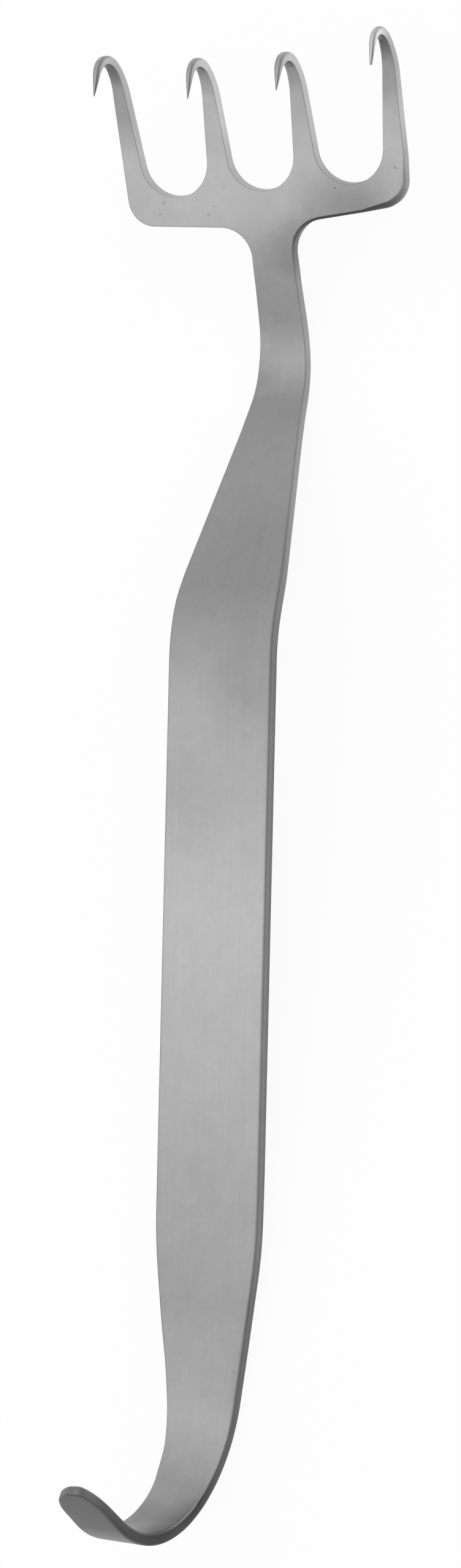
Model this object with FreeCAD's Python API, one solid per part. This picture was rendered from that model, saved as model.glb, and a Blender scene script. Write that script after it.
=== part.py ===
import FreeCAD, Part
import math
import os
from collections import namedtuple

from FreeCAD import Vector

# Hand-held rake retractor, one forged piece.  Lengths in millimetres, angles in degrees.
#
# The strap is described by a side profile (straights and arcs in the YZ plane) and by a half
# width that changes along it.  Both are given over the distance along the strap from the lower
# end of the straight handle, upwards to the rake and downwards to the hook.  Front is the side
# that the prongs and the hook curl towards.

# strap
thickness = 2.5
edge_break = 0.3
handle_half_width = 9.2
handle_length = 95.1

# crank and neck, going up
crank_angle = 29.4
crank_radius = 24.0
crank_straight = 38.6
rake_bend_angle = 52.3
rake_bend_radius = 16.5
taper_start = 107.5
taper_start_radius = 80.0
neck_half_width = 4.7
neck_start = 145.2
neck_start_radius = 45.0

# head of the rake
head_half_width = 25.4
shoulder_at_middle = 177.1
shoulder_slope = 0.08
neck_half_width_at_shoulder = 3.6
neck_fillet = 5.0
shoulder_corner = 4.2
web_height = 6.4

# prongs: the inner pair narrows evenly about its own middle line, the outer pair keeps its
# outer side parallel to the middle of the head and narrows on its inner side only
inner_prong_offset = 7.88
inner_prong_root_width = 4.6
inner_prong_end_width = 2.43
outer_prong_root_width = 4.15
outer_prong_end_width = 2.23

# hooks of the prongs: an easy arc, a tight arc and a straight point
easy_radius = 8.3
easy_angle = 34.0
tight_radius = 4.03
tight_angle = 116.0
waist_share = 0.58
waist_width = 1.5
waist_thickness = 1.4
waist_break = 0.4
point_size = 0.3
point_break = 0.08
point_fullness = 1.5
# The prongs are bent by hand, so each has its own straight length, from the root of the gaps to
# the start of its hook, and its own length of the straight point at the end.
outer_left_length = 17.7
outer_left_point = 3.5
inner_left_length = 15.85
inner_left_point = 3.5
inner_right_length = 15.4
inner_right_point = 3.0
outer_right_length = 18.0
outer_right_point = 2.9

# Side is -1 on the left and 1 on the right, start is the distance at which the hook starts,
# and drift is how far the hook leans sideways for each millimetre of its length.
gap_root = shoulder_at_middle + web_height
Prong = namedtuple("Prong", "side inner start point drift")
prongs = [
    Prong(-1, False, gap_root + outer_left_length, outer_left_point, -0.025),
    Prong(-1, True, gap_root + inner_left_length, inner_left_point, 0.007),
    Prong(1, True, gap_root + inner_right_length, inner_right_point, -0.007),
    Prong(1, False, gap_root + outer_right_length, outer_right_point, 0.017),
]

# hook at the lower end, going down: an easing arc, two arcs and a straight tongue
easing_radius = 430.0
easing_length = 25.5
hook_radius = 17.7
hook_angle = 80.3
sweep_radius = 31.8
sweep_angle = 41.8
tongue_length = 14.0
hook_taper_start = 0.6
hook_taper_radius = 85.0
tongue_half_width = 3.73
tongue_taper_end = 47.7
tongue_taper_radius = 63.0
tongue_end_half_width = 3.5
tip_length = 10.2
tip_thickness = 1.4

# lofts: one section for each of these steps of length and of turning angle
section_step = 8.0
section_turn = 15.0
small_section_step = 4.0
small_section_turn = 29.0
loft_degree = 3
close = 0.001

X = Vector(1, 0, 0)
Y = Vector(0, 1, 0)
Z = Vector(0, 0, 1)


def arc_length(radius, angle):
    return radius * math.radians(angle)


# Each profile piece: its length and the angle it turns through, positive towards the front.
up_pieces = [
    (handle_length, 0.0),
    (arc_length(crank_radius, crank_angle), -crank_angle),
    (crank_straight, 0.0),
    (arc_length(rake_bend_radius, rake_bend_angle), rake_bend_angle),
]
down_pieces = [
    (easing_length, math.degrees(easing_length / easing_radius)),
    (arc_length(hook_radius, hook_angle), hook_angle),
    (arc_length(sweep_radius, sweep_angle), sweep_angle),
]
hook_pieces = [
    (arc_length(easy_radius, easy_angle), easy_angle),
    (arc_length(tight_radius, tight_angle), tight_angle),
]


def walk(point, ahead, front, pieces, distance):
    """Point, direction and front normal after a distance along profile pieces."""
    for length, turn in pieces + [(math.inf, 0.0)]:
        step = min(distance, length)
        if turn == 0.0:
            point = point + ahead * step
        else:
            full = math.radians(turn)
            radius = length / full
            angle = full * step / length
            point = point + ahead * (radius * math.sin(angle))
            point = point + front * (radius * (1 - math.cos(angle)))
            c, s = math.cos(angle), math.sin(angle)
            ahead, front = ahead * c + front * s, front * c - ahead * s
        distance = distance - step
        if distance <= 0:
            break
    return point, ahead, front


def up_frame(distance):
    return walk(Vector(0, 0, 0), Y, Z, up_pieces, distance)


def down_frame(distance):
    return walk(Vector(0, 0, 0), -Y, Z, down_pieces, distance)


def ends_of(pieces):
    """Distances at which the profile pieces begin and end."""
    marks = [0.0]
    for length, _ in pieces:
        marks.append(marks[-1] + length)
    return marks


up_marks = ends_of(up_pieces)
down_marks = ends_of(down_pieces)
hook_marks = ends_of(hook_pieces)
head_start = up_marks[-1]
tongue_start = down_marks[-1]
strap_end = tongue_start + tongue_length
neck_end = shoulder_at_middle + shoulder_slope * neck_half_width_at_shoulder


def round_corner(before, corner, after, radius):
    """First, middle and last point of the arc that rounds a corner."""
    a = (before - corner).normalize()
    b = (after - corner).normalize()
    half = a.getAngle(b) / 2
    reach = radius / math.tan(half)
    inward = (a + b).normalize()
    middle = corner + inward * (radius / math.sin(half) - radius)
    return corner + a * reach, middle, corner + b * reach


def rounded_edges(corners):
    """Lines and arcs of a closed outline given as (x, y, corner radius)."""
    points = [Vector(x, y, 0) for x, y, _ in corners]
    turns = []
    for i, (_, _, radius) in enumerate(corners):
        after = points[(i + 1) % len(points)]
        if radius > 0:
            turns.append(round_corner(points[i - 1], points[i], after, radius))
        else:
            turns.append((points[i], points[i], points[i]))
    edges = []
    for i, (first, middle, last) in enumerate(turns):
        if first != last:
            edges.append(Part.Arc(first, middle, last).toShape())
        edges.append(Part.LineSegment(last, turns[(i + 1) % len(turns)][0]).toShape())
    return edges


def section(point, front, width, depth, corner):
    """Closed rectangle with broken corners, width along X and depth along front."""
    a, b = width / 2, depth / 2
    points = []
    for u, v in ((1, 1), (-1, 1), (-1, -1), (1, -1)):
        on_side = point + X * (u * a) + front * (v * (b - corner))
        on_face = point + X * (u * (a - corner)) + front * (v * b)
        points.extend([on_side, on_face] if u * v > 0 else [on_face, on_side])
    return Part.makePolygon(points + points[:1])


# Half widths of the strap: distance, half width, radius of the soft corner there.  Distances
# towards the hook are negative.
widths = [
    (-strap_end, tongue_end_half_width, 0.0),
    (-tongue_taper_end, tongue_half_width, tongue_taper_radius),
    (-hook_taper_start, handle_half_width, hook_taper_radius),
    (taper_start, handle_half_width, taper_start_radius),
    (neck_start, neck_half_width, neck_start_radius),
    (neck_end, neck_half_width_at_shoulder, 0.0),
]


def soft_corners():
    """Distance, radius, half length and turn of the arc in each corner between the tapers."""
    slopes = [(w1 - w0) / (s1 - s0) for (s0, w0, _), (s1, w1, _) in zip(widths, widths[1:])]
    corners = []
    for (corner, _, radius), before, after in zip(widths[1:-1], slopes, slopes[1:]):
        turn = math.atan(after) - math.atan(before)
        corners.append((corner, radius, radius * abs(turn) / 2, turn))
    return corners


def half_width(distance):
    """Straight tapers between the widths, with an arc rounded into each corner."""
    for (s0, w0, _), (s1, w1, _) in zip(widths, widths[1:]):
        if distance >= s0 or s0 == -strap_end:
            width = w0 + (w1 - w0) * (distance - s0) / (s1 - s0)
    for corner, radius, half_length, turn in soft_corners():
        inside = half_length - abs(distance - corner)
        if inside > 0:
            width = width + math.copysign(inside * inside / (2 * radius), turn)
    return width


def depth(distance):
    """The strap thins steadily from the start of the hook to its tip."""
    hook_start = -down_marks[1]
    if distance >= hook_start:
        return thickness
    return thickness + (tip_thickness - thickness) * (hook_start - distance) / (strap_end + hook_start)


def strap_section(distance):
    point, _, front = up_frame(distance) if distance >= 0 else down_frame(-distance)
    return section(point, front, 2 * half_width(distance), depth(distance), edge_break)


def spread(first, last, count):
    return [first + (last - first) * i / count for i in range(count + 1)]


def smooth_loft(wires):
    """Closed solid through the wires: not ruled, not joined end to start."""
    return Part.makeLoft(wires, True, False, False, loft_degree)


def strap_loft(first, last, turn=0.0):
    count = math.ceil(abs(last - first) / section_step + abs(turn) / section_turn)
    return smooth_loft([strap_section(s) for s in spread(first, last, count)])


def strap():
    """One loft for each straight or arc of the profile, and a plain prism for the handle."""
    _, hook_corner, crank_corner, _ = soft_corners()
    plain_start = max(0.0, hook_corner[0] + hook_corner[2])
    plain_end = min(handle_length, crank_corner[0] - crank_corner[2])
    lofts = [Part.Face(strap_section(plain_start)).extrude(Y * (plain_end - plain_start))]
    if plain_start > 0:
        lofts.append(strap_loft(0.0, plain_start))
    if plain_end < handle_length:
        lofts.append(strap_loft(plain_end, handle_length))
    for (_, turn), first, last in zip(up_pieces[1:], up_marks[1:], up_marks[2:]):
        lofts.append(strap_loft(first, last, turn))
    for (_, turn), first, last in zip(down_pieces, down_marks, down_marks[1:]):
        lofts.append(strap_loft(-first, -last, turn))
    return lofts


def place(shape, point, ahead, front):
    """Carries a shape drawn in the XY plane into a frame of the profile."""
    m = FreeCAD.Matrix()
    m.A11, m.A21, m.A31 = X.x, X.y, X.z
    m.A12, m.A22, m.A32 = ahead.x, ahead.y, ahead.z
    m.A13, m.A23, m.A33 = front.x, front.y, front.z
    m.A14, m.A24, m.A34 = point.x, point.y, point.z
    return shape.transformed(m, True)


def prong_width(prong, s):
    """Width of a prong, which narrows evenly from the root of the gaps to its hook."""
    share = (s - gap_root) / (prong.start - gap_root)
    if prong.inner:
        return inner_prong_root_width + (inner_prong_end_width - inner_prong_root_width) * share
    return outer_prong_root_width + (outer_prong_end_width - outer_prong_root_width) * share


def prong_middle(prong, s):
    if prong.inner:
        return prong.side * inner_prong_offset
    return prong.side * (head_half_width - prong_width(prong, s) / 2)


def prong_side(prong, s, towards):
    """Position across the head of one side of a prong, -1 for its left and 1 for its right."""
    return prong_middle(prong, s) + towards * prong_width(prong, s) / 2


def gap_corner(left, right):
    """Meeting point of the two sides of a gap and the radius that puts its root in place."""
    a0, a1 = prong_side(left, gap_root, 1), prong_side(left, gap_root + 1, 1)
    b0, b1 = prong_side(right, gap_root, -1), prong_side(right, gap_root + 1, -1)
    open_left, open_right = a0 - a1, b1 - b0
    width = b0 - a0
    below = width / (open_left + open_right)
    slant = math.hypot(1, open_left) + math.hypot(1, open_right)
    radius = width / (slant - open_left - open_right)
    return a0 + open_left * below, gap_root - below, radius


def head_plate():
    """Flat part of the head with its neck, shoulders, prongs and gaps, in its own plane."""
    neck = half_width(head_start)
    at_side = shoulder_at_middle + shoulder_slope * head_half_width
    corners = [
        (-neck, head_start, 0),
        (neck, head_start, 0),
        (neck_half_width_at_shoulder, neck_end, neck_fillet),
        (head_half_width, at_side, shoulder_corner),
    ]
    for left, prong in zip([None] + prongs[:-1], prongs):
        ends = [(prong_side(prong, prong.start, 1), prong.start, 0)]
        ends.append((prong_side(prong, prong.start, -1), prong.start, 0))
        if left:
            ends.append(gap_corner(left, prong))
        corners[4:4] = ends
    corners.append((-head_half_width, at_side, shoulder_corner))
    corners.append((-neck_half_width_at_shoulder, neck_end, neck_fillet))
    outline = Part.Wire(rounded_edges(corners))
    plate = Part.Face(outline).extrude(Z * thickness)
    plate.translate(Z * (-thickness / 2))
    joints = [head_start] + [prong.start for prong in prongs]
    broken = []
    for edge in plate.Edges:
        box = edge.BoundBox
        upright = box.ZLength > thickness / 2
        at_joint = box.YLength < close and min(abs(box.YMin - y) for y in joints) < close
        if not upright and not at_joint:
            broken.append(edge)
    plate = plate.makeChamfer(edge_break, broken)
    plate.translate(Y * -head_start)
    return place(plate, *up_frame(head_start))


def prong_hook(prong):
    """Curled part of a prong, which narrows and thins to a point with ground facets."""
    origin, ahead, front = up_frame(prong.start)
    total = hook_marks[-1] + prong.point
    waist = waist_share * total
    stations = [0.0]
    for (length, turn), first in zip(hook_pieces + [(prong.point, 0.0)], hook_marks):
        count = math.ceil(length / small_section_step + turn / small_section_turn)
        stations.extend(spread(first, first + length, count)[1:])
    start_size = (prong_width(prong, prong.start), thickness, edge_break)
    waist_size = (waist_width, waist_thickness, waist_break)
    end_size = (point_size, point_size, point_break)
    wires = []
    for s in stations:
        if s < waist:
            share = s / waist
            first, last = start_size, waist_size
        else:
            share = ((s - waist) / (total - waist)) ** point_fullness
            first, last = waist_size, end_size
        size = [a + (b - a) * share for a, b in zip(first, last)]
        point, _, normal = walk(origin, ahead, front, hook_pieces, s)
        point = point + X * (prong_middle(prong, prong.start) + prong.drift * s)
        wires.append(section(point, normal, *size))
    return smooth_loft(wires)


def tongue():
    """Straight end of the hook: a thinning plate with an elliptical tip."""
    a, b = half_width(-tongue_start), half_width(tip_length - strap_end)
    straight = tongue_length - tip_length
    ellipse = Part.Ellipse(Vector(0, tongue_length, 0), Vector(b, straight, 0), Vector(0, straight, 0))
    edges = [
        Part.LineSegment(Vector(-b, straight, 0), Vector(-a, 0, 0)).toShape(),
        Part.LineSegment(Vector(-a, 0, 0), Vector(a, 0, 0)).toShape(),
        Part.LineSegment(Vector(a, 0, 0), Vector(b, straight, 0)).toShape(),
        Part.ArcOfEllipse(ellipse, -math.pi / 2, math.pi / 2).toShape(),
    ]
    blank = Part.Face(Part.Wire(edges)).extrude(Z * (2 * thickness))
    blank.translate(Z * -thickness)
    c, d = depth(-tongue_start) / 2, tip_thickness / 2
    side = [Vector(0, 0, -c), Vector(0, tongue_length, -d), Vector(0, tongue_length, d), Vector(0, 0, c)]
    wedge = Part.Face(Part.makePolygon(side + side[:1])).extrude(X * (4 * a))
    wedge.translate(X * (-2 * a))
    plate = blank.common(wedge)
    broken = []
    for edge in plate.Edges:
        box = edge.BoundBox
        upright = box.ZLength > d and box.YLength < close
        if not upright and box.YMax > close:
            broken.append(edge)
    plate = plate.makeChamfer(edge_break, broken)
    return place(plate, *down_frame(tongue_start))


def retractor():
    parts = strap() + [head_plate(), tongue()]
    parts.extend(prong_hook(prong) for prong in prongs)
    return parts[0].multiFuse(parts[1:])


def lying_angle():
    """Tilt of the line that touches the back of the lower hook and of the rake bend."""
    low, _, low_front = down_frame(down_marks[1])
    high, _, high_front = up_frame(up_marks[3])
    low_centre = low + low_front * hook_radius
    high_centre = high + high_front * rake_bend_radius
    across = high_centre - low_centre
    grow = rake_bend_radius - hook_radius
    return math.degrees(math.atan2(across.z, across.y) - math.asin(grow / across.Length))


def main():
    os.makedirs("parts", exist_ok=True)
    body = retractor()
    body.rotate(Vector(0, 0, 0), X, -lying_angle())
    box = body.optimalBoundingBox()
    shift = Vector(0, -(box.YMin + box.YMax) / 2, -box.ZMin)
    body.translate(shift)
    body.exportStep("parts/retractor.step")
    print("solids", len(body.Solids), "valid", body.isValid(), "volume", round(body.Volume, 1))
    print("size", round(box.XLength, 2), round(box.YLength, 2), round(box.ZLength, 2))
    print("turned by", -lying_angle(), "moved by", shift)


main()
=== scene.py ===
import math
from collections import namedtuple
from itertools import product

import bmesh
import bpy
from mathutils import Matrix, Vector, geometry


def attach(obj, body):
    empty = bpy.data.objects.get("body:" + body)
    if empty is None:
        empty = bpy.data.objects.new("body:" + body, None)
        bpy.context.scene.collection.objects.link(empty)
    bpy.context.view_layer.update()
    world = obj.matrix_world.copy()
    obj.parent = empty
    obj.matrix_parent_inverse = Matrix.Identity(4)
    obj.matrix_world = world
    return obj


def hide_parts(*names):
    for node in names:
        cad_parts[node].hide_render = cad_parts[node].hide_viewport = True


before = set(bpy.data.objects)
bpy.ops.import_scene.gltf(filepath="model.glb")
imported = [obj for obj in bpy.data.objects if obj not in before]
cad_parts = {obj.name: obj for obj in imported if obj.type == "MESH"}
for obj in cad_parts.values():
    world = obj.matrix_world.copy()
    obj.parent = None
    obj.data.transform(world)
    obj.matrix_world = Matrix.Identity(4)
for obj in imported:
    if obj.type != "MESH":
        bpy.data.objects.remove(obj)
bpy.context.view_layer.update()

# Sizes are in millimetres and angles in degrees, as in the part's source. A place on the
# retractor is given on its flat blank: across from the middle line, along from the lower end of
# the straight handle (up to the rake is positive) and through the thickness. Front is the side
# that the prongs and the hook curl towards. An arc is a radius and an angle.
MM = 0.001
THICKNESS = 2.5
HANDLE_HALF_WIDTH = 9.2

# Side profile, going up to the rake
HANDLE_LENGTH = 95.1
CRANK_ARC = (24.0, -29.4)
CRANK_STRAIGHT = 38.6
RAKE_BEND_ARC = (16.5, 52.3)

# Side profile, going down to the tongue
EASING_LENGTH = 25.5
EASING_RADIUS = 430.0
HOOK_ARC = (17.7, 80.3)
SWEEP_ARC = (31.8, 41.8)
TONGUE_LENGTH = 14.0

# Head of the rake
HEAD_HALF_WIDTH = 25.4
SHOULDER_AT_MIDDLE = 177.1
SHOULDER_SLOPE = 0.08
NECK_HALF_WIDTH_AT_SHOULDER = 3.6
GAP_ROOT = 183.5

# Shoulders: how far each is cut back, radius of its neck fillet and radius of its corner. The
# right corner leans in, and comes back to the full width a little way up the prong.
RIGHT_SHOULDER = (0.24, 6.0, 4.6)
LEFT_SHOULDER = (0.12, 5.4, 4.6)
CORNER_LEAN = 0.5
CORNER_LEAN_END = 187.3
CORNER_LEAN_RADIUS = 8.0

# Prongs: the inner pair narrows about its own middle line, the outer pair on its inner side only.
# Start is the distance at which the hook of a prong starts, and drift is how far it leans
# sideways for each millimetre of its length.
INNER_PRONG_OFFSET = 7.88
Prong = namedtuple(
    "Prong", "side inner root_width end_width start point drift waist_width waist_thickness tip")
PRONGS = (
    Prong(-1, False, 3.95, 2.23, 201.2, 3.5, -0.025, 1.53, 1.35, 0.16),
    Prong(-1, True, 4.6, 2.43, 199.35, 3.5, 0.0, 1.38, 1.45, 0.12),
    Prong(1, True, 4.6, 2.43, 198.9, 3.0, -0.007, 1.6, 1.5, 0.12),
    Prong(1, False, 4.15, 2.23, 201.5, 2.9, 0.006, 1.25, 1.3, 0.38),
)
EASY_ARC = (8.3, 34.0)
TIGHT_ARC = (4.03, 116.0)
WAIST_SHARE = 0.58
POINT_FULLNESS = 1.5

# Worn end of the tongue: how full its left and right corners are (2 is an ellipse), how much it
# is shortened, how much more on the left, and how steeply one side goes over into the other.
TIP_LENGTH = 10.2
TIP_THICKNESS = 1.4
TIP_FULLNESS_LEFT = 2.35
TIP_FULLNESS_RIGHT = 2.6
TIP_SHORT = 0.08
TIP_SLANT = 1.95
TIP_SLANT_STEEPNESS = 0.85

# Radii of the rounded edges. A prong has one at the front and one at the back, at its waist and
# as a share of its tip's width. The cap on the tip stands out by another share.
EDGE_RADIUS = 0.34
HEAD_EDGE_RADIUS = 0.2
WAIST_EDGE_RADII = (0.3, 0.6)
TIP_EDGE_SHARES = (0.3, 0.45)
TIP_CAP_SHARE = 0.3
# The edges get crisper over this length below the head.
CRISP_LENGTH = 14.0
# The strap's right front edge is worn rounder by this much, and these stretches lead in and out.
WORN_EDGE = 0.25
WORN_IN = (-45.0, -25.0)
WORN_OUT = (140.0, 110.0)

# Ground bevel of the right shoulder, which widens at the corner. Each pair says where it starts
# and where it is full, across or along.
BEVEL_RADIUS = 0.5
BEVEL_ACROSS = (3.7, 4.7)
BEVEL_ALONG = (169.0, 172.0)
BEVEL_FROM_PRONG = (188.0, 183.0)
CORNER_BEVEL_RADIUS = 1.1
CORNER_BEVEL_ACROSS = (17.0, 21.0)
CORNER_BEVEL_FROM_PRONG = (183.2, 179.8)
# The bevel stays this far above the shoulder's line at most, or this near the head's right side.
BEVEL_ABOVE_SHOULDER = 2.5
BEVEL_NEAR_SIDE = 1.5

# How the part lies: turned about the row frame's X axis, then moved.
LYING_TURN = 8.18079
LYING_SHIFT = (0.0, -74.94411, 4.18983)

# Fineness of the mesh: steps along lines, and numbers of steps across faces and round edges. The
# strap's rings are closer together where it turns by more than a gentle turn, in radians.
RING_STEP = 1.2
BEND_RING_STEP = 0.7
GENTLE_TURN = 0.1
PRONG_RING_STEP = 0.22
EDGE_STEP = 0.55
ROUND_STEP_SHARE = 0.55
FEWEST_ROUND_STEPS = 6
TONGUE_STEP = 0.6
TIP_STEPS = 96
HEAD_GRID = 1.1
TONGUE_GRID = 0.8
STRAP_ACROSS = 10
PRONG_ACROSS = 4
CORNER_STEPS = 4
SIDE_STEPS = 2
# A rounding error up to this share of a step doesn't add another step.
ROUNDING = 1e-9
# Width of the narrow border that keeps the shading of a plate's face flat
FACE_BORDER = 0.06
# Rows of a plate's grid of equal triangles, and how near its points come to the outline, both as
# shares of its step
ROW_HEIGHT = 0.866
CLEAR_OF_OUTLINE = 0.55
# Points in the same or a neighbouring one of these cells are welded.
CELLS_PER_MM = 2000
# For the triangulation: keep what is inside only, and take points this near as one
INSIDE_ONLY = 1
SAME_POINT = 1e-6


def clamp(value):
    """Value kept from 0 to 1."""
    return min(max(value, 0.0), 1.0)


def fade(value, start, full):
    """Share that goes from 0 at start to 1 where it is full."""
    return clamp((value - start) / (full - start))


def smooth(share):
    """Share with soft ends."""
    return share * share * (3.0 - 2.0 * share)


def between(first, last, share):
    """Values that are a share of the way from the first ones to the last."""
    return [a + (b - a) * share for a, b in zip(first, last)]


def arc(radius, angle):
    """Length of an arc and its turn in radians, positive towards the front."""
    turn = math.radians(angle)
    return radius * abs(turn), turn


UP = ((HANDLE_LENGTH, 0.0), arc(*CRANK_ARC), (CRANK_STRAIGHT, 0.0), arc(*RAKE_BEND_ARC))
DOWN = ((EASING_LENGTH, EASING_LENGTH / EASING_RADIUS), arc(*HOOK_ARC), arc(*SWEEP_ARC))
CURL = (arc(*EASY_ARC), arc(*TIGHT_ARC))
HEAD_START = sum(length for length, _ in UP)
TONGUE_START = sum(length for length, _ in DOWN)
STRAP_END = TONGUE_START + TONGUE_LENGTH
NECK_END = SHOULDER_AT_MIDDLE + SHOULDER_SLOPE * NECK_HALF_WIDTH_AT_SHOULDER
LYING_COS = math.cos(math.radians(LYING_TURN))
LYING_SIN = math.sin(math.radians(LYING_TURN))

# Half width of the strap: distance, half width, radius of the soft corner there
WIDTHS = (
    (-STRAP_END, 3.5, 0.0),
    (-47.7, 3.73, 63.0),
    (-0.6, HANDLE_HALF_WIDTH, 85.0),
    (107.5, HANDLE_HALF_WIDTH, 80.0),
    (145.2, 4.7, 45.0),
    (NECK_END, NECK_HALF_WIDTH_AT_SHOULDER, 0.0),
)
# Unevenness of the strap's outline: distance, how far its left and its right edge stand out
UNEVEN = (
    (-STRAP_END, 0.2, 0.05), (-78.0, 0.47, 0.1), (-68.0, 0.6, 0.1), (-49.0, 1.1, 0.1),
    (-40.0, 0.4, 0.0), (-33.0, -0.04, 0.0), (-22.0, -0.18, -0.08), (-12.0, 0.05, -0.1),
    (0.0, 0.0, -0.08), (12.0, 0.0, 0.0), (138.0, 0.0, 0.0), (145.0, 0.14, 0.1),
    (151.0, 0.0, 0.0), (160.0, -0.14, -0.17), (166.0, -0.12, -0.15), (172.0, 0.0, 0.0),
)


def walk(start, pieces, distance):
    """Point, direction and front normal in the side plane after a distance along a profile."""
    (y, z), (ay, az), (fy, fz) = start
    for length, turn in (*pieces, (math.inf, 0.0)):
        step = min(distance, length)
        if turn == 0.0:
            y, z = y + ay * step, z + az * step
        else:
            radius = length / turn
            angle = step / radius
            c, s = math.cos(angle), math.sin(angle)
            y += ay * radius * s + fy * radius * (1 - c)
            z += az * radius * s + fz * radius * (1 - c)
            ay, az, fy, fz = ay * c + fy * s, az * c + fz * s, fy * c - ay * s, fz * c - az * s
        distance -= step
        if distance <= 0:
            break
    return (y, z), (ay, az), (fy, fz)


def strap_frame(s):
    """Frame of the strap at a signed distance, its direction always towards the rake."""
    if s >= 0:
        return walk(((0, 0), (1, 0), (0, 1)), UP, s)
    point, (ay, az), front = walk(((0, 0), (-1, 0), (0, 1)), DOWN, -s)
    return point, (-ay, -az), front


def half_width(s):
    """Half width of the strap: straight lines with soft corners."""
    slopes = []
    for (s0, w0, _), (s1, w1, _) in zip(WIDTHS, WIDTHS[1:]):
        slopes.append((w1 - w0) / (s1 - s0))
        if s >= s0 or s0 == -STRAP_END:
            width = w0 + slopes[-1] * (s - s0)
    for (corner, _, radius), before, after in zip(WIDTHS[1:-1], slopes, slopes[1:]):
        turn = math.atan(after) - math.atan(before)
        inside = radius * abs(turn) / 2 - abs(s - corner)
        if inside > 0:
            width += math.copysign(inside * inside / (2 * radius), turn)
    return width


def uneven(x, s):
    """Sideways place of a point of the strap, moved by the unevenness of the outline."""
    for (s0, left0, right0), (s1, left1, right1) in zip(UNEVEN, UNEVEN[1:]):
        if s0 <= s < s1:
            share = smooth(fade(s, s0, s1))
            left, right = between((left0, right0), (left1, right1), share)
            return x * (1.0 + (left + right) / (2.0 * half_width(s))) + (right - left) / 2.0
    return x


def depth(s):
    """Thickness of the strap, which thins evenly along the hook."""
    return THICKNESS + (TIP_THICKNESS - THICKNESS) * fade(-s, EASING_LENGTH, STRAP_END)


def edge_radius(s):
    """Radius of the strap's edges, which are crisper at the head."""
    share = fade(s, HEAD_START - CRISP_LENGTH, HEAD_START)
    return EDGE_RADIUS + (HEAD_EDGE_RADIUS - EDGE_RADIUS) * share


def to_row(x, y, z):
    """From the handle's own frame to the row frame, in metres."""
    return Vector((
        (x + LYING_SHIFT[0]) * MM,
        (y * LYING_COS - z * LYING_SIN + LYING_SHIFT[1]) * MM,
        (y * LYING_SIN + z * LYING_COS + LYING_SHIFT[2]) * MM,
    ))


class Skin:
    """One welded mesh. Each vertex keeps its place on the flat blank and the way that the
    surface faces there: outwards across, ahead along and forwards."""

    def __init__(self):
        self.points = []
        self.blank = []
        self.normals = []
        self.faces = []
        self.known = {}

    def add(self, x, frame_at, w, blank, normal):
        """Vertex x across and w in front of a frame's point, or the one that is there."""
        (y, z), _, (fy, fz) = frame_at
        point = (uneven(x, blank[1]), y + fy * w, z + fz * w)
        cell = [round(v * CELLS_PER_MM) for v in point]
        for shift in product((0, -1, 1), repeat=3):
            near = self.known.get(tuple(c + d for c, d in zip(cell, shift)))
            if near is not None:
                return near
        self.known[tuple(cell)] = len(self.points)
        self.points.append(to_row(*point))
        self.blank.append(blank)
        self.normals.append(normal)
        return len(self.points) - 1

    def face(self, corners):
        """Face without corners that were welded into one."""
        kept = [c for i, c in enumerate(corners) if c != corners[i - 1]]
        if len(kept) > 2:
            self.faces.append(kept)

    def band(self, one, other, closed=True):
        """Faces between two rows of vertices."""
        n = len(one)
        for i in range(n if closed else n - 1):
            j = (i + 1) % n
            self.face((one[i], one[j], other[j], other[i]))

    def bands(self, rings, closed=True):
        for one, other in zip(rings, rings[1:]):
            self.band(one, other, closed)


def edge_profile(half_depth, front_radius, back_radius):
    """A rounded side from the back face to the front face: offset inwards, height, and how far
    the surface there faces outwards and forwards."""
    turns = [math.pi / 2 * k / CORNER_STEPS for k in range(CORNER_STEPS)]
    rows = []
    for turn in turns:
        out, down = math.sin(turn), math.cos(turn)
        height = -half_depth + back_radius * (1 - down)
        rows.append((back_radius * (1 - out), height, out, -down))
    low, high = back_radius - half_depth, half_depth - front_radius
    for k in range(SIDE_STEPS + 1):
        rows.append((0.0, low + (high - low) * k / SIDE_STEPS, 1.0, 0.0))
    for turn in reversed(turns):
        out, up = math.sin(turn), math.cos(turn)
        height = half_depth - front_radius * (1 - up)
        rows.append((front_radius * (1 - out), height, out, up))
    return rows


def section(half, half_depth, front_radius, back_radius, across, worn=0.0):
    """Rounded rectangle as (x, w, outward, forward) points, starting at the right side's back.
    Its right front edge may be worn rounder."""
    right_radius = front_radius + worn
    points = []
    for inset, w, out, up in edge_profile(half_depth, right_radius, back_radius):
        # On the worn edge the facing kept for the painted light turns away from the front sooner
        # than the surface does.
        if worn > 0.0 and up > 0.0:
            up *= up
        points.append((half - inset, w, out, up))
    right, left = half - right_radius, front_radius - half
    for k in range(1, across):
        points.append((right + (left - right) * k / across, half_depth, 0.0, 1.0))
    for inset, w, out, up in reversed(edge_profile(half_depth, front_radius, back_radius)):
        points.append((-half + inset, w, -out, up))
    flat = half - back_radius
    for k in range(1, across):
        points.append((-flat + 2 * flat * k / across, -half_depth, 0.0, -1.0))
    return points


def stations(first, last, step):
    """Evenly spaced places from first to last, no further apart than a step."""
    count = max(1, math.ceil(abs(last - first) / step - ROUNDING))
    return [first + (last - first) * i / count for i in range(count + 1)]


def strap_ring(skin, s):
    """Vertices around the strap at a distance."""
    at = strap_frame(s)
    radius = edge_radius(s)
    worn = WORN_EDGE * min(fade(s, *WORN_IN), fade(s, *WORN_OUT))
    points = section(half_width(s), depth(s) / 2, radius, radius, STRAP_ACROSS, worn)
    return [skin.add(x, at, w, (x, s, w), (out, 0.0, up)) for x, w, out, up in points]


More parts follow.
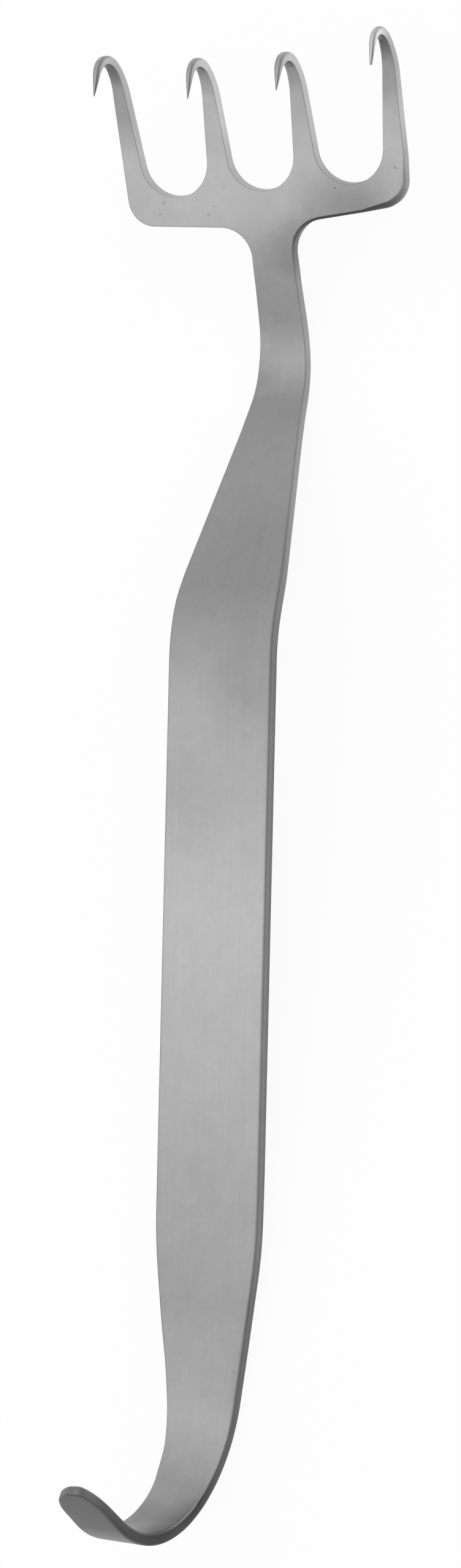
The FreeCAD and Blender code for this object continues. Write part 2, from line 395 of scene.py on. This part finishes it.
def add_strap(skin):
    """Strap from the tongue to the head."""
    places = [-TONGUE_START]
    for length, turn in (*reversed(DOWN), *UP):
        step = RING_STEP if abs(turn) < GENTLE_TURN else BEND_RING_STEP
        places.extend(stations(places[-1], places[-1] + length, step)[1:])
    skin.bands([strap_ring(skin, s) for s in places])


def left_normals(points):
    """Left-hand normals of a line through points."""
    normals = []
    for before, after in zip([points[0]] + points[:-1], points[1:] + [points[-1]]):
        run = (after - before).normalized()
        normals.append(Vector((-run.y, run.x)))
    return normals


def rounded_chain(corners):
    """Points along a chain of lines with rounded corners (x, y, radius)."""
    line = []
    for i, (x, y, radius) in enumerate(corners):
        corner = Vector((x, y))
        if radius == 0:
            line.append(corner)
            continue
        a = (Vector(corners[i - 1][:2]) - corner).normalized()
        b = (Vector(corners[i + 1][:2]) - corner).normalized()
        half = a.angle(b) / 2
        reach = radius / math.tan(half)
        centre = corner + (a + b).normalized() * (radius / math.sin(half))
        first, last = corner + a * reach - centre, corner + b * reach - centre
        turn = first.angle_signed(last)
        arc_length = radius * abs(turn)
        count = max(FEWEST_ROUND_STEPS, math.ceil(arc_length / (EDGE_STEP * ROUND_STEP_SHARE)))
        for k in range(count + 1):
            line.append(centre + Matrix.Rotation(-turn * k / count, 2) @ first)
    points = [line[0]]
    for p, q in zip(line, line[1:]):
        count = max(1, round((q - p).length / EDGE_STEP))
        points.extend(p + (q - p) * k / count for k in range(1, count + 1))
    return points


def prong_width(prong, s):
    """Width of the straight part of a prong at a distance."""
    share = (s - GAP_ROOT) / (prong.start - GAP_ROOT)
    return prong.root_width + (prong.end_width - prong.root_width) * share


def prong_middle(prong, s):
    """Place across of a prong's middle line."""
    if prong.inner:
        return prong.side * INNER_PRONG_OFFSET
    return prong.side * (HEAD_HALF_WIDTH - prong_width(prong, s) / 2)


def prong_side(prong, s, towards):
    """Place across of a prong's side, the left one towards -1 and the right one towards 1."""
    return prong_middle(prong, s) + towards * prong_width(prong, s) / 2


def gap_corner(left, right):
    """Where the sides of a gap would meet below its root, and the radius of its round bottom."""
    a0, a1 = prong_side(left, GAP_ROOT, 1), prong_side(left, GAP_ROOT + 1, 1)
    b0, b1 = prong_side(right, GAP_ROOT, -1), prong_side(right, GAP_ROOT + 1, -1)
    open_left, open_right, width = a0 - a1, b1 - b0, b0 - a0
    below = width / (open_left + open_right)
    slant = math.hypot(1, open_left) + math.hypot(1, open_right)
    return a0 + open_left * below, GAP_ROOT - below, width / (slant - open_left - open_right)


def gap_edge(left, right):
    """Corners of the outline of a gap: down the prong on its right and up the one on its left."""
    return (
        (prong_side(right, right.start, -1), right.start, 0),
        gap_corner(left, right),
        (prong_side(left, left.start, 1), left.start, 0),
    )


def plate_edge(skin, points, front_radius, back_radius):
    """Rounded free edge of a plate: the line of its border on the front face, and its rows of
    vertices from the back to that border. It ends square to the cuts of the plate."""
    normals = left_normals(points)
    for i in (0, -1):
        normals[i] = Vector((math.copysign(1, normals[i].x), 0.0))
    front, rows = [], []
    for i, (p, n) in enumerate(zip(points, normals)):
        b = depth(p.y) / 2
        radius = front_radius(p)
        border = radius + (FACE_BORDER if 0 < i < len(points) - 1 else 0.0)
        bevel = clamp((radius - back_radius) / (BEVEL_RADIUS - HEAD_EDGE_RADIUS))
        front.append(p + n * border)
        row = []
        for inset, w, out, up in (*edge_profile(b, radius, back_radius), (border, b, 0.0, 1.0)):
            q = p + n * inset
            # Over the ground bevel the facing kept for the painted light is turned to the side, so
            # that the bevel takes the sides' painted shade.
            if up > 0.0 and inset < border:
                out, up = out + (1.0 - out) * bevel, up * (1.0 - bevel)
            normal = (-n.x * out, -n.y * out, up)
            row.append(skin.add(q.x, strap_frame(q.y), w, (q.x, q.y, w), normal))
        rows.append(row)
    skin.bands(rows, closed=False)
    return front, rows


def face_pair(skin, q):
    """Vertices on the front face and on the back face over a point of the blank."""
    at, b = strap_frame(q.y), depth(q.y) / 2
    front = skin.add(q.x, at, b, (q.x, q.y, b), (0.0, 0.0, 1.0))
    back = skin.add(q.x, at, -b, (q.x, q.y, -b), (0.0, 0.0, -1.0))
    return front, back


def plate(skin, chains, cuts, grid, front_radius, back_radius):
    """Flat plate with rounded edges: chains are its free edges, in order anticlockwise, and
    cuts[i] is the number of face segments of the cut between chain i and the next."""
    edges = [plate_edge(skin, points, front_radius, back_radius) for points in chains]
    outline, pairs = [], []
    for (front, rows), across, following in zip(edges, cuts, edges[1:] + edges[:1]):
        outline.extend(front)
        pairs.extend((row[-1], row[0]) for row in rows)
        for k in range(1, across):
            q = front[-1] + (following[0][0] - front[-1]) * k / across
            outline.append(q)
            pairs.append(face_pair(skin, q))
    n = len(outline)
    border = [(i, (i + 1) % n) for i in range(n)]
    places, _, triangles, origins = geometry.delaunay_2d_cdt(
        outline + grid_points(outline, grid), border, [list(range(n))],
        INSIDE_ONLY, SAME_POINT)[:4]
    ends = []
    for place, origin in zip(places, origins):
        on_outline = [i for i in origin if i < n]
        ends.append(pairs[on_outline[0]] if on_outline else face_pair(skin, place))
    for triangle in triangles:
        skin.face([ends[i][0] for i in triangle])
        skin.face([ends[i][1] for i in reversed(triangle)])


def inside(outline, p):
    """Whether a point lies inside a closed outline."""
    crossed = False
    for a, b in zip(outline, outline[1:] + outline[:1]):
        if (a.y > p.y) != (b.y > p.y):
            if p.x < a.x + (b.x - a.x) * (p.y - a.y) / (b.y - a.y):
                crossed = not crossed
    return crossed


def distance_to(outline, p):
    """Distance from a point to the nearest line of an outline."""
    gaps = []
    for a, b in zip(outline, outline[1:] + outline[:1]):
        foot, share = geometry.intersect_point_line(p, a, b)
        on_line = 0 <= share <= 1
        gaps.append((foot - p).length if on_line else min((a - p).length, (b - p).length))
    return min(gaps)


def grid_points(outline, grid):
    """Points of a triangular grid inside an outline."""
    low_x, high_x = min(p.x for p in outline), max(p.x for p in outline)
    low_y, high_y = min(p.y for p in outline), max(p.y for p in outline)
    found = []
    rows = int((high_y - low_y) / (grid * ROW_HEIGHT))
    for j in range(1, rows):
        y = low_y + (high_y - low_y) * j / rows
        x = low_x + grid / 2 * (j % 2)
        while x < high_x:
            p = Vector((x, y))
            if inside(outline, p) and distance_to(outline, p) > grid * CLEAR_OF_OUTLINE:
                found.append(p)
            x += grid
    return found


def head_edge(p):
    """Front edge radius of the head, with the ground bevel of the right shoulder."""
    low = p.y < SHOULDER_AT_MIDDLE + SHOULDER_SLOPE * p.x + BEVEL_ABOVE_SHOULDER
    beside = p.x > HEAD_HALF_WIDTH - BEVEL_NEAR_SIDE
    if not (low or beside):
        return HEAD_EDGE_RADIUS
    rise = min(fade(p.x, *BEVEL_ACROSS), fade(p.y, *BEVEL_ALONG))
    bevel = rise * fade(p.y, *BEVEL_FROM_PRONG)
    corner = fade(p.x, *CORNER_BEVEL_ACROSS) * fade(p.y, *CORNER_BEVEL_FROM_PRONG)
    wider = (BEVEL_RADIUS - HEAD_EDGE_RADIUS) * bevel
    return HEAD_EDGE_RADIUS + wider + (CORNER_BEVEL_RADIUS - BEVEL_RADIUS) * corner


def add_head(skin):
    """Head with the straight parts of the prongs, up to the start of their hooks."""
    at_side = SHOULDER_AT_MIDDLE + SHOULDER_SLOPE * HEAD_HALF_WIDTH
    neck = half_width(HEAD_START)
    left, right = PRONGS[0], PRONGS[-1]
    back, fillet, corner = RIGHT_SHOULDER
    right_edge = (
        (neck, HEAD_START, 0),
        (NECK_HALF_WIDTH_AT_SHOULDER, NECK_END + back, fillet),
        (HEAD_HALF_WIDTH - CORNER_LEAN, at_side + back, corner),
        (HEAD_HALF_WIDTH, CORNER_LEAN_END, CORNER_LEAN_RADIUS),
        (prong_side(right, right.start, 1), right.start, 0),
    )
    back, fillet, corner = LEFT_SHOULDER
    left_edge = (
        (prong_side(left, left.start, -1), left.start, 0),
        (-HEAD_HALF_WIDTH, at_side + back, corner),
        (-NECK_HALF_WIDTH_AT_SHOULDER, NECK_END + back, fillet),
        (-neck, HEAD_START, 0),
    )
    gaps = [gap_edge(one, other) for one, other in zip(PRONGS, PRONGS[1:])]
    edges = (right_edge, *reversed(gaps), left_edge)
    chains = [rounded_chain(corners) for corners in edges]
    cuts = [PRONG_ACROSS] * len(PRONGS) + [STRAP_ACROSS]
    plate(skin, chains, cuts, HEAD_GRID, head_edge, HEAD_EDGE_RADIUS)


def add_tongue(skin):
    """Tongue, whose worn and slanted end is half a superellipse."""
    foot = TIP_LENGTH - STRAP_END
    sides = stations(-TONGUE_START, foot, TONGUE_STEP)
    points = [Vector((-half_width(s), s)) for s in sides]
    for k in range(1, TIP_STEPS):
        angle = math.pi * k / TIP_STEPS
        aside = math.cos(angle)
        power = 2.0 / (TIP_FULLNESS_LEFT if aside > 0.0 else TIP_FULLNESS_RIGHT)
        slant = TIP_SLANT * smooth(clamp(0.5 + TIP_SLANT_STEEPNESS * aside))
        reach = (TIP_LENGTH - TIP_SHORT - slant) * math.sin(angle) ** power
        x = -math.copysign(half_width(foot) * abs(aside) ** power, aside)
        points.append(Vector((x, foot - reach)))
    points.extend(Vector((half_width(s), s)) for s in reversed(sides))
    plate(skin, [points], [STRAP_ACROSS], TONGUE_GRID, lambda p: EDGE_RADIUS, EDGE_RADIUS)


def add_prong(skin, prong):
    """Hook of a prong: it narrows to a waist and closes in a point."""
    origin = strap_frame(prong.start)
    total = sum(length for length, _ in CURL) + prong.point
    waist = WAIST_SHARE * total
    first = (prong_width(prong, prong.start), THICKNESS, HEAD_EDGE_RADIUS, HEAD_EDGE_RADIUS)
    middle = (prong.waist_width, prong.waist_thickness, *WAIST_EDGE_RADII)
    last = (prong.tip, prong.tip, *(share * prong.tip for share in TIP_EDGE_SHARES))

    def middle_at(s):
        return prong_middle(prong, prong.start) + prong.drift * s

    rings = []
    for s in stations(0.0, total, PRONG_RING_STEP):
        if s < waist:
            width, deep, front_radius, back_radius = between(first, middle, s / waist)
        else:
            share = ((s - waist) / (total - waist)) ** POINT_FULLNESS
            width, deep, front_radius, back_radius = between(middle, last, share)
        at, along, shift = walk(origin, CURL, s), prong.start + s, middle_at(s)
        points = section(width / 2, deep / 2, front_radius, back_radius, PRONG_ACROSS)
        rings.append([
            skin.add(x + shift, at, w, (x + shift, along, w), (out, 0.0, up))
            for x, w, out, up in points
        ])
    skin.bands(rings)
    at, shift = walk(origin, CURL, total + TIP_CAP_SHARE * prong.tip), middle_at(total)
    end = skin.add(shift, at, 0.0, (shift, prong.start + total, 0.0), (0.0, 1.0, 0.0))
    for one, other in zip(rings[-1], rings[-1][1:] + rings[-1][:1]):
        skin.face((one, other, end))


def build_body():
    skin = Skin()
    add_strap(skin)
    add_head(skin)
    add_tongue(skin)
    for prong in PRONGS:
        add_prong(skin, prong)
    mesh = bpy.data.meshes.new("retractor_skin")
    mesh.from_pydata(skin.points, [], skin.faces)
    mesh.validate()
    for name, rows in (("blank", skin.blank), ("blank_normal", skin.normals)):
        attribute = mesh.attributes.new(name, "FLOAT_VECTOR", "POINT")
        attribute.data.foreach_set("vector", [v for row in rows for v in row])
    whole = bmesh.new()
    whole.from_mesh(mesh)
    bmesh.ops.recalc_face_normals(whole, faces=whole.faces)
    whole.to_mesh(mesh)
    whole.free()
    for polygon in mesh.polygons:
        polygon.use_smooth = True
    mesh.update()
    body = bpy.data.objects.new("retractor_skin", mesh)
    bpy.context.scene.collection.objects.link(body)
    return body


class Nodes:
    """Short-hand for building a node tree."""

    # Levels of a curve go from minus to plus half of this.
    CURVE_SPAN = 4.0

    def __init__(self, tree):
        self.tree = tree
        tree.nodes.clear()

    def new(self, kind, values=None, **settings):
        node = self.tree.nodes.new(kind)
        for name, value in settings.items():
            setattr(node, name, value)
        for name, value in (values or {}).items():
            socket = node.inputs[name]
            if isinstance(value, bpy.types.NodeSocket):
                self.tree.links.new(value, socket)
            else:
                socket.default_value = value
        return node

    def math(self, operation, a, b=0.0, c=0.0):
        return self.new("ShaderNodeMath", {0: a, 1: b, 2: c}, operation=operation).outputs[0]

    def product(self, first, *others):
        """All the values multiplied."""
        for other in others:
            first = self.math("MULTIPLY", first, other)
        return first

    def less(self, value, taken):
        """Value with another taken away."""
        return self.math("SUBTRACT", value, taken)

    def mix(self, share, first, last):
        return self.new("ShaderNodeMix", {0: share, 2: first, 3: last}).outputs[0]

    def parts(self, vector):
        """The three parts of a vector."""
        return self.new("ShaderNodeSeparateXYZ", {0: vector}).outputs

    def attribute(self, name):
        return self.new("ShaderNodeAttribute", attribute_name=name).outputs["Vector"]

    def noise(self, vector, scale, detail, roughness=0.5):
        return self.new("ShaderNodeTexNoise", {
            "Vector": vector, "Scale": scale, "Detail": detail, "Roughness": roughness}).outputs[0]

    def stretched(self, vector, scale):
        """Vector with its own scale for each part."""
        node = self.new("ShaderNodeVectorMath", {0: vector, 1: scale}, operation="MULTIPLY")
        return node.outputs[0]

    def fade(self, value, span, low=0.0, high=1.0, kind="LINEAR"):
        """Goes from low to high as the value goes over the span."""
        return self.new("ShaderNodeMapRange", {
            "Value": value, "From Min": span[0], "From Max": span[1],
            "To Min": low, "To Max": high}, interpolation_type=kind).outputs[0]

    def curve(self, value, stops):
        """Curve through (distance, level) stops."""
        first, last = stops[0][0], stops[-1][0]
        node = self.new("ShaderNodeValToRGB", {"Fac": self.fade(value, (first, last))})
        marks = node.color_ramp.elements
        while len(marks) < len(stops):
            marks.new(0.5)
        for mark, (place, level) in zip(marks, stops):
            mark.position = (place - first) / (last - first)
            mark.color = (level / self.CURVE_SPAN + 0.5,) * 3 + (1.0,)
        return self.math(
            "MULTIPLY_ADD", node.outputs[0], self.CURVE_SPAN, -self.CURVE_SPAN / 2)


# Brightness and roughness of the satin steel
BASE = 0.38
ROUGHNESS = 0.33

# Its grain and streaks run along the strap, and mottling and clouds lie all over: how fine each
# is, for each millimetre, and how much it changes the brightness. The grain and the streaks get
# weaker towards the head.
GRAIN_SCALE = (9.0, 0.22, 9.0)
STREAK_SCALE = (1.6, 0.03, 1.6)
MOTTLE_SCALE = 0.4
CLOUD_SCALE = 0.06
BRUSHED_CHANGE = 0.09
BRUSHED_CHANGE_AT_HEAD = 0.02
BRUSHED_FADES = (140.0, 175.0)
MOTTLE_CHANGE = 0.22
CLOUD_CHANGE = 0.12
# What grain and clouds do to the roughness, and their bumps: strength and height in metres
GRAIN_ROUGHNESS = 0.1
CLOUD_ROUGHNESS = 0.06
GRAIN_BUMP = (0.25, 0.00001)
CLOUD_BUMP = (0.35, 0.00025)

# Small dark specks in the steel: across, along, radius, strength
SPECKS = (
    (-18.8, 182.8, 0.28, 0.28), (-19.9, 182.0, 0.2, 0.25), (-19.7, 181.0, 0.26, 0.25),
    (-10.7, 180.3, 0.3, 0.22), (-9.5, 181.6, 0.28, 0.2), (-7.2, 184.8, 0.22, 0.22),
    (12.7, 183.1, 0.14, 0.55), (23.6, 185.7, 0.24, 0.35), (-3.05, 123.8, 0.1, 0.4),
    (5.8, -20.8, 0.5, 0.12),
)
# Broad soft patches of painted light and shade, darker where the strength is above zero and
# lighter where it is below: across, along, radius, strength
PAINTED_LIGHT_PATCHES = (
    (13.5, 177.5, 8.5, 0.3), (0.5, 166.0, 12.0, 0.27), (4.5, 174.0, 5.5, 0.14),
    (-22.5, 200.0, 7.0, 0.22), (-8.0, 197.0, 5.0, -0.06), (8.0, 199.0, 5.0, 0.06),
    (23.5, 203.5, 7.0, 0.24), (-5.0, 152.0, 4.0, 0.12), (19.0, 182.0, 6.0, 0.08),
    (24.3, 214.5, 6.0, -0.7), (-23.5, 207.0, 3.0, 0.2), (3.0, 112.0, 13.0, 0.08),
    (-12.0, 184.0, 7.0, -0.05), (-5.0, -53.0, 7.4, 0.36), (4.5, -60.0, 5.5, 0.45),
    (-2.0, 5.0, 16.0, 0.06), (-7.0, 88.0, 8.0, -0.09), (-6.0, 71.0, 8.0, 0.05),
    (6.5, 93.0, 8.0, 0.08),
)
# Shares of its radius at which a speck or patch starts to fade and is gone
SPOT_FADES = (0.3, 1.4)

# Painted light and shade along the strap (distance, share of the plain brightness), on the front
# face, on the ground sides and on the back
FRONT_PAINTED_LIGHT = (
    (-45, 0.98), (-32, 0.95), (-10, 0.78), (0, 0.88), (25, 0.96), (54, 1.09), (90, 0.82),
    (96, 0.78), (112, 0.8), (135, 0.83), (150, 0.83), (154, 0.93), (158, 0.9), (178, 1.04),
    (190, 1.08), (198, 0.95), (203, 0.95), (207, 0.55),
)
SIDE_PAINTED_LIGHT = (
    (-87, 0.52), (-84, 0.36), (-81, 0.2), (-76, 0.13), (-66, 0.08), (-46, 0.075), (-37, 0.24),
    (-10, 0.31), (0, 0.45), (95, 0.47), (108, 0.62), (125, 0.82), (150, 0.78), (158, 1.1),
    (168, 1.1), (173, 0.7), (181, 0.95), (185, 1.15), (194, 1.45), (207, 1.6), (212, 1.35),
    (217, 0.55),
)
BACK_PAINTED_SHADE = (
    (-82, 0.21), (-74, 0.26), (-66, 0.42), (-58, 0.7), (-20, 0.7), (180, 0.75), (206, 0.95),
)
# How much painted light brightens the ground sides towards the front, for each millimetre
SIDE_PAINTED_GRADIENT = ((-45, 0.0), (-20, 0.45), (92, 0.45), (112, 0.0))
# Rounded edges: painted highlight on the hook, painted shade on the points of the prongs
EDGE_PAINTED_LIGHT = (
    (-70, 0.0), (-50, 0.3), (-32, 0.3), (-25, 0.0), (-10, -0.1), (20, -0.1), (205, 0.0),
    (210, -0.4),
)
# Sides of the head that face down to the handle get painted shade, and so, in part, does the outer
# side of its right corner: across and along, over which that starts and ends.
UNDERSIDE_PAINTED_SHADE = 0.33
CORNER_PAINTED_SHADE_ACROSS = (22.0, 24.5)
CORNER_PAINTED_SHADE_ALONG = (185.0, 193.0)
CORNER_PAINTED_SHADE_SHARE = 0.27
# The shade of the hook's ground edge is painted as a dark border on the right of its back: where
# it starts across, and where it comes in on the tongue and goes out on the hook.
PAINTED_BORDER_ACROSS = (2.8, 3.15)
PAINTED_BORDER_TONGUE = (-82.0, -78.5)
PAINTED_BORDER_HOOK = (-58.0, -52.0)


def painted_light_by_side(n, blank):
    """Painted light and shade by the side of the blank that a point lies on: front, back or ground
    side.
    """
    _, ahead, front = n.parts(n.attribute("blank_normal"))
    across, along, through = n.parts(blank)
    is_front = n.math("GREATER_THAN", front, 0.0)
    faces = n.mix(is_front, n.curve(along, BACK_PAINTED_SHADE), n.curve(along, FRONT_PAINTED_LIGHT))
    # Painted shade on sides that face down below the head, and on part of the right corner.
    faces_down = n.math("MAXIMUM", n.product(ahead, -1.0), 0.0)
    under = n.product(faces_down, n.math("GREATER_THAN", along, HEAD_START))
    corner = n.product(n.fade(across, CORNER_PAINTED_SHADE_ACROSS),
                       n.fade(along, CORNER_PAINTED_SHADE_ALONG, CORNER_PAINTED_SHADE_SHARE, 0.0))
    lighter = n.math("MULTIPLY_ADD", through, n.curve(along, SIDE_PAINTED_GRADIENT), 1.0)
    wall = n.product(n.curve(along, SIDE_PAINTED_LIGHT), lighter)
    sides = n.mix(n.math("MAXIMUM", under, corner), wall, UNDERSIDE_PAINTED_SHADE)
    border = n.product(n.fade(across, PAINTED_BORDER_ACROSS), n.fade(along, PAINTED_BORDER_TONGUE),
                       n.fade(along, PAINTED_BORDER_HOOK, 1.0, 0.0), n.less(1.0, is_front))
    flat = n.product(front, front)
    painted_level = n.mix(n.product(flat, n.less(1.0, border)), sides, faces)
    # Painted light on the rounded edges, strongest where they face half forwards.
    edge = n.product(flat, 4.0, n.less(1.0, flat))
    return n.math("MULTIPLY_ADD", edge, n.curve(along, EDGE_PAINTED_LIGHT), painted_level)


def satin_steel():
    material = bpy.data.materials.new("satin_steel")
    material.use_nodes = True
    n = Nodes(material.node_tree)
    blank = n.attribute("blank")
    grain = n.noise(n.stretched(blank, GRAIN_SCALE), 1.0, detail=3.0, roughness=0.6)
    streaks = n.noise(n.stretched(blank, STREAK_SCALE), 1.0, detail=2.0)
    mottle = n.noise(blank, MOTTLE_SCALE, detail=5.0, roughness=0.7)
    clouds = n.noise(blank, CLOUD_SCALE, detail=2.0)
    brushed = n.fade(n.parts(blank)[1], BRUSHED_FADES, BRUSHED_CHANGE, BRUSHED_CHANGE_AT_HEAD)
    value = 1.0
    for pattern, change in zip(
            (mottle, clouds, streaks, grain), (MOTTLE_CHANGE, CLOUD_CHANGE, brushed, brushed)):
        value = n.math("MULTIPLY_ADD", n.less(pattern, 0.5), change, value)
    fades, gone = SPOT_FADES
    # The specks are the steel's own marks; the patches are painted light and shade.
    for across, along, radius, strength in (*SPECKS, *PAINTED_LIGHT_PATCHES):
        gap = n.new("ShaderNodeVectorMath", {0: blank, 1: (across, along, THICKNESS / 2)},
                    operation="DISTANCE").outputs["Value"]
        spot = n.fade(gap, (radius * fades, radius * gone), strength, 0.0, "SMOOTHSTEP")
        value = n.less(value, spot)
    # The colour is scaled by the painted light and shade of each side.
    shade = n.product(value, painted_light_by_side(n, blank), BASE)
    colour = n.new("ShaderNodeCombineColor", {0: shade, 1: shade, 2: shade}).outputs[0]
    rough = n.math("MULTIPLY_ADD", grain, GRAIN_ROUGHNESS, ROUGHNESS)
    rough = n.math("MULTIPLY_ADD", clouds, CLOUD_ROUGHNESS, rough)
    waves = n.new("ShaderNodeBump", {
        "Strength": CLOUD_BUMP[0], "Distance": CLOUD_BUMP[1], "Height": clouds})
    bump = n.new("ShaderNodeBump", {
        "Strength": GRAIN_BUMP[0], "Distance": GRAIN_BUMP[1], "Height": grain,
        "Normal": waves.outputs[0]})
    shader = n.new("ShaderNodeBsdfPrincipled", {
        "Base Color": colour, "Metallic": 1.0, "Roughness": rough, "Normal": bump.outputs[0]})
    n.new("ShaderNodeOutputMaterial", {"Surface": shader.outputs[0]})
    return material


# Studio: the floor's own shade, how white it is to the camera and in the steel, and half its
# size in metres
WHITE = (1.0, 1.0, 1.0, 1.0)
FLOOR_SHADE = 0.84
FLOOR_WHITE = 0.93
FLOOR_HALF_SIZE = 3.0
# Light of the room: at the horizon, overhead, and how much less on the far right. It changes
# between level and this share of the way to straight up or right.
ROOM_LOW = 0.85
ROOM_HIGH = 1.1
ROOM_LESS_RIGHT = 0.35
ROOM_SPAN = (0.0, 0.9)
# Soft lamp: direction from its aim, aim, distance and side in metres, and power in watts
LAMP_DIRECTION = (-0.42, -0.2, 0.88)
LAMP_AIM = (0.0, 0.0, 0.02)
LAMP_DISTANCE = 1.6
LAMP_SIZE = 1.6
LAMP_POWER = 2.0


def floor_material():
    material = bpy.data.materials.new("pale_floor")
    material.use_nodes = True
    n = Nodes(material.node_tree)
    path = n.new("ShaderNodeLightPath").outputs
    seen = n.math("MAXIMUM", path["Is Camera Ray"], path["Is Glossy Ray"])
    seen = n.math("MAXIMUM", seen, path["Is Transmission Ray"])
    plain = n.new("ShaderNodeBsdfDiffuse", {"Color": (FLOOR_SHADE,) * 3 + (1.0,)})
    white = n.new("ShaderNodeEmission", {"Color": WHITE, "Strength": 1.0})
    both = n.new("ShaderNodeMixShader", {
        0: n.product(seen, FLOOR_WHITE), 1: plain.outputs[0], 2: white.outputs[0]})
    n.new("ShaderNodeOutputMaterial", {"Surface": both.outputs[0]})
    return material


def add_floor():
    half = FLOOR_HALF_SIZE
    corners = [(-half, -half, 0), (half, -half, 0), (half, half, 0), (-half, half, 0)]
    mesh = bpy.data.meshes.new("floor")
    mesh.from_pydata(corners, [], [(0, 1, 2, 3)])
    floor = bpy.data.objects.new("floor", mesh)
    bpy.context.scene.collection.objects.link(floor)
    floor.data.materials.append(floor_material())


def add_world():
    world = bpy.data.worlds.new("studio")
    bpy.context.scene.world = world
    world.use_nodes = True
    n = Nodes(world.node_tree)
    right, _, up = n.parts(n.new("ShaderNodeTexCoord").outputs["Generated"])
    height = n.fade(up, ROOM_SPAN, ROOM_LOW, ROOM_HIGH, "SMOOTHSTEP")
    strength = n.less(height, n.fade(right, ROOM_SPAN, 0.0, ROOM_LESS_RIGHT, "SMOOTHSTEP"))
    room = n.new("ShaderNodeBackground", {"Color": WHITE, "Strength": strength})
    n.new("ShaderNodeOutputWorld", {"Surface": room.outputs[0]})


def add_lamp():
    lamp = bpy.data.lights.new("key", "AREA")
    lamp.shape = "RECTANGLE"
    lamp.size = lamp.size_y = LAMP_SIZE
    lamp.energy = LAMP_POWER
    way = Vector(LAMP_DIRECTION).normalized()
    holder = bpy.data.objects.new("key", lamp)
    holder.location = Vector(LAMP_AIM) + way * LAMP_DISTANCE
    holder.rotation_mode = "QUATERNION"
    holder.rotation_quaternion = way.to_track_quat("Z", "Y")
    bpy.context.scene.collection.objects.link(holder)


# The photograph's view in the handle's own frame: the camera's direction and roll, its distance,
# how far it is moved right and up, and its focal length in pixels of the photograph
CAMERA_AZIMUTH = 23.1403
CAMERA_ELEVATION = 0.026
CAMERA_ROLL = 1.3412
CAMERA_DISTANCE = 412.51
CAMERA_RIGHT = 3.527
CAMERA_UP = 74.9397
FOCAL_PIXELS = 4101.84
PHOTO_HEIGHT_PIXELS = 2560
SENSOR_SIZE = 36.0
CLIP_RANGE = (0.01, 20.0)


def add_camera():
    """Camera with the photograph's view, turned as the part lies."""
    azimuth, elevation, roll = map(math.radians, (CAMERA_AZIMUTH, CAMERA_ELEVATION, CAMERA_ROLL))
    level = Vector((math.cos(azimuth), 0.0, -math.sin(azimuth)))
    back = Vector((
        math.sin(azimuth) * math.cos(elevation),
        math.sin(elevation),
        math.cos(azimuth) * math.cos(elevation),
    ))
    upright = back.cross(level)
    right = level * math.cos(roll) + upright * math.sin(roll)
    up = upright * math.cos(roll) - level * math.sin(roll)
    camera = bpy.data.cameras.new("camera")
    camera.sensor_width = SENSOR_SIZE
    camera.lens = FOCAL_PIXELS / PHOTO_HEIGHT_PIXELS * SENSOR_SIZE
    camera.clip_start, camera.clip_end = CLIP_RANGE
    holder = bpy.data.objects.new("camera", camera)
    bpy.context.scene.collection.objects.link(holder)
    turn = Matrix.Rotation(math.radians(LYING_TURN), 3, "X")
    matrix = Matrix([turn @ right, turn @ up, turn @ back]).transposed().to_4x4()
    matrix.translation = to_row(*(back * CAMERA_DISTANCE + right * CAMERA_RIGHT + up * CAMERA_UP))
    holder.matrix_world = matrix
    bpy.context.scene.camera = holder


body = build_body()
body.data.materials.append(satin_steel())
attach(body, "root")
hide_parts("retractor")

add_floor()
add_world()
add_lamp()
add_camera()

scene = bpy.context.scene
scene.view_settings.view_transform = "Standard"
